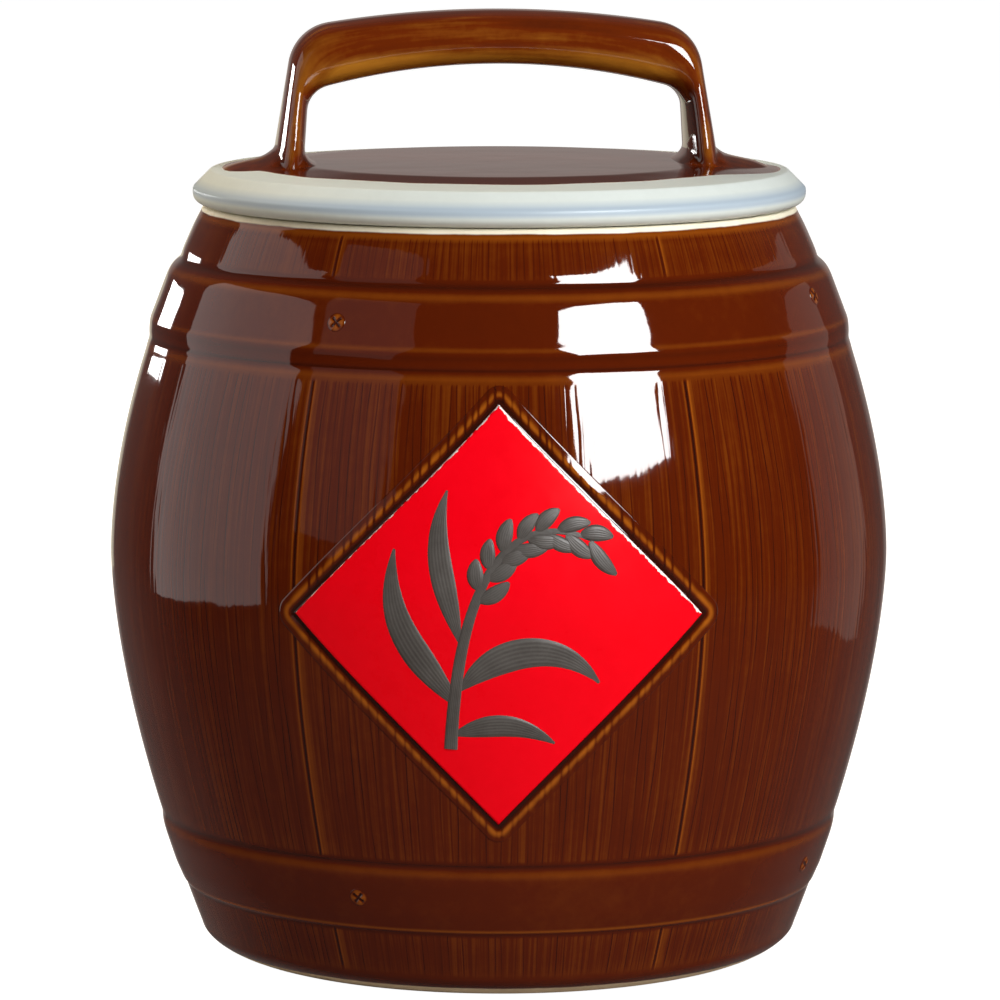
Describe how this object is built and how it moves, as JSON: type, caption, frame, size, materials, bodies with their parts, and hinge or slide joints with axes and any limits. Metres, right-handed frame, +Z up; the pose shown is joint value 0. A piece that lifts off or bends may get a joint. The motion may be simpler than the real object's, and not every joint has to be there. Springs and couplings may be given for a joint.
{
  "type": "rice storage jar",
  "caption": "Glazed ceramic storage jar shaped like a hooped barrel, with a diamond enamel panel and a lift-off lid with a strap handle.",
  "frame": {"origin": "centre of the foot ring, on the surface that the jar stands on", "axes": "+Z up along the jar's axis, -Y towards the enamel panel at the front, +X to the right of someone who looks at the panel"},
  "size_m": [0.2796, 0.2797, 0.3381],
  "materials": {
    "brown_glaze": "glossy dark red-brown glaze, amber where it breaks over edges",
    "red_enamel": "satin red overglaze enamel",
    "soft_ring": "matt translucent silicone",
    "pale_glaze": "pale grey-green rim with a brown glazed top",
    "handle_glaze": "glossy amber-brown glaze"
  },
  "bodies": {
    "jar": {"jar_body": "brown_glaze", "enamel_panel": "red_enamel"},
    "ring": {"lid_seal": "soft_ring"},
    "lid": {"lid": "pale_glaze", "lid_handle": "handle_glaze"}
  },
  "joints": [
    {"name": "lid_lift", "type": "slide", "parent": "jar", "child": "ring", "axis": [0, 0, 1], "range_m": [0, 0.12]},
    {"name": "lid_turn", "type": "hinge", "parent": "ring", "child": "lid", "pos_m": [0, 0, 0.2691], "axis": [0, 0, 1], "continuous": true}
  ]
}
